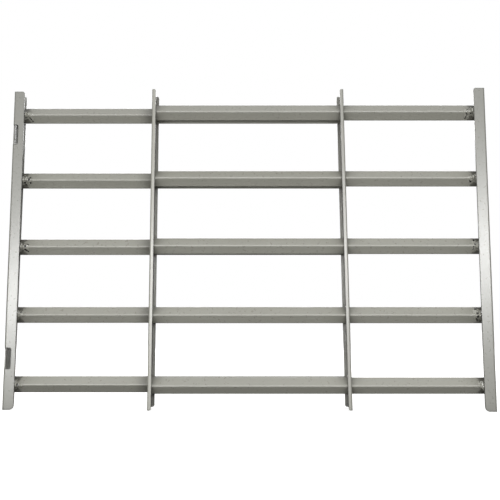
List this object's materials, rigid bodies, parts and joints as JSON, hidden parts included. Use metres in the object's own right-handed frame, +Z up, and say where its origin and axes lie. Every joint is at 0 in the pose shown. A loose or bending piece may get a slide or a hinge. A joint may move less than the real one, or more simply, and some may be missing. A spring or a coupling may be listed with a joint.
{
  "type": "window security bar",
  "caption": "Telescoping window guard of square tubes set on a corner, welded between end channels and guide straps so that its halves slide to suit the opening.",
  "frame": {"origin": "on the sill plane, midway between the two jamb faces at the stored width, midway through the depth", "axes": "+X across the window to the right, +Y away from the room side, +Z up"},
  "size_m": [0.899, 0.078, 0.596],
  "materials": {
    "channel_paint": "semi-gloss grey powder coat",
    "bar_paint": "semi-gloss grey powder coat",
    "strap_paint": "semi-gloss grey powder coat",
    "weld_paint": "grey powder coat over rough weld metal"
  },
  "bodies": {
    "left_half": {"left_end_channel": "channel_paint", "left_bar_1": "bar_paint", "left_bar_2": "bar_paint", "left_bar_3": "bar_paint", "left_bar_4": "bar_paint", "left_bar_5": "bar_paint", "right_strap": "strap_paint", "left_web_welds": "weld_paint", "left_leg_welds": "weld_paint", "right_strap_welds": "weld_paint"},
    "right_half": {"right_end_channel": "channel_paint", "right_bar_1": "bar_paint", "right_bar_2": "bar_paint", "right_bar_3": "bar_paint", "right_bar_4": "bar_paint", "right_bar_5": "bar_paint", "left_strap": "strap_paint", "right_web_welds": "weld_paint", "right_leg_welds": "weld_paint", "left_strap_welds": "weld_paint"}
  },
  "joints": [
    {"name": "width_slide", "type": "slide", "parent": "left_half", "child": "right_half", "axis": [1, 0, 0], "range_m": [-0.229, 0.348]}
  ]
}
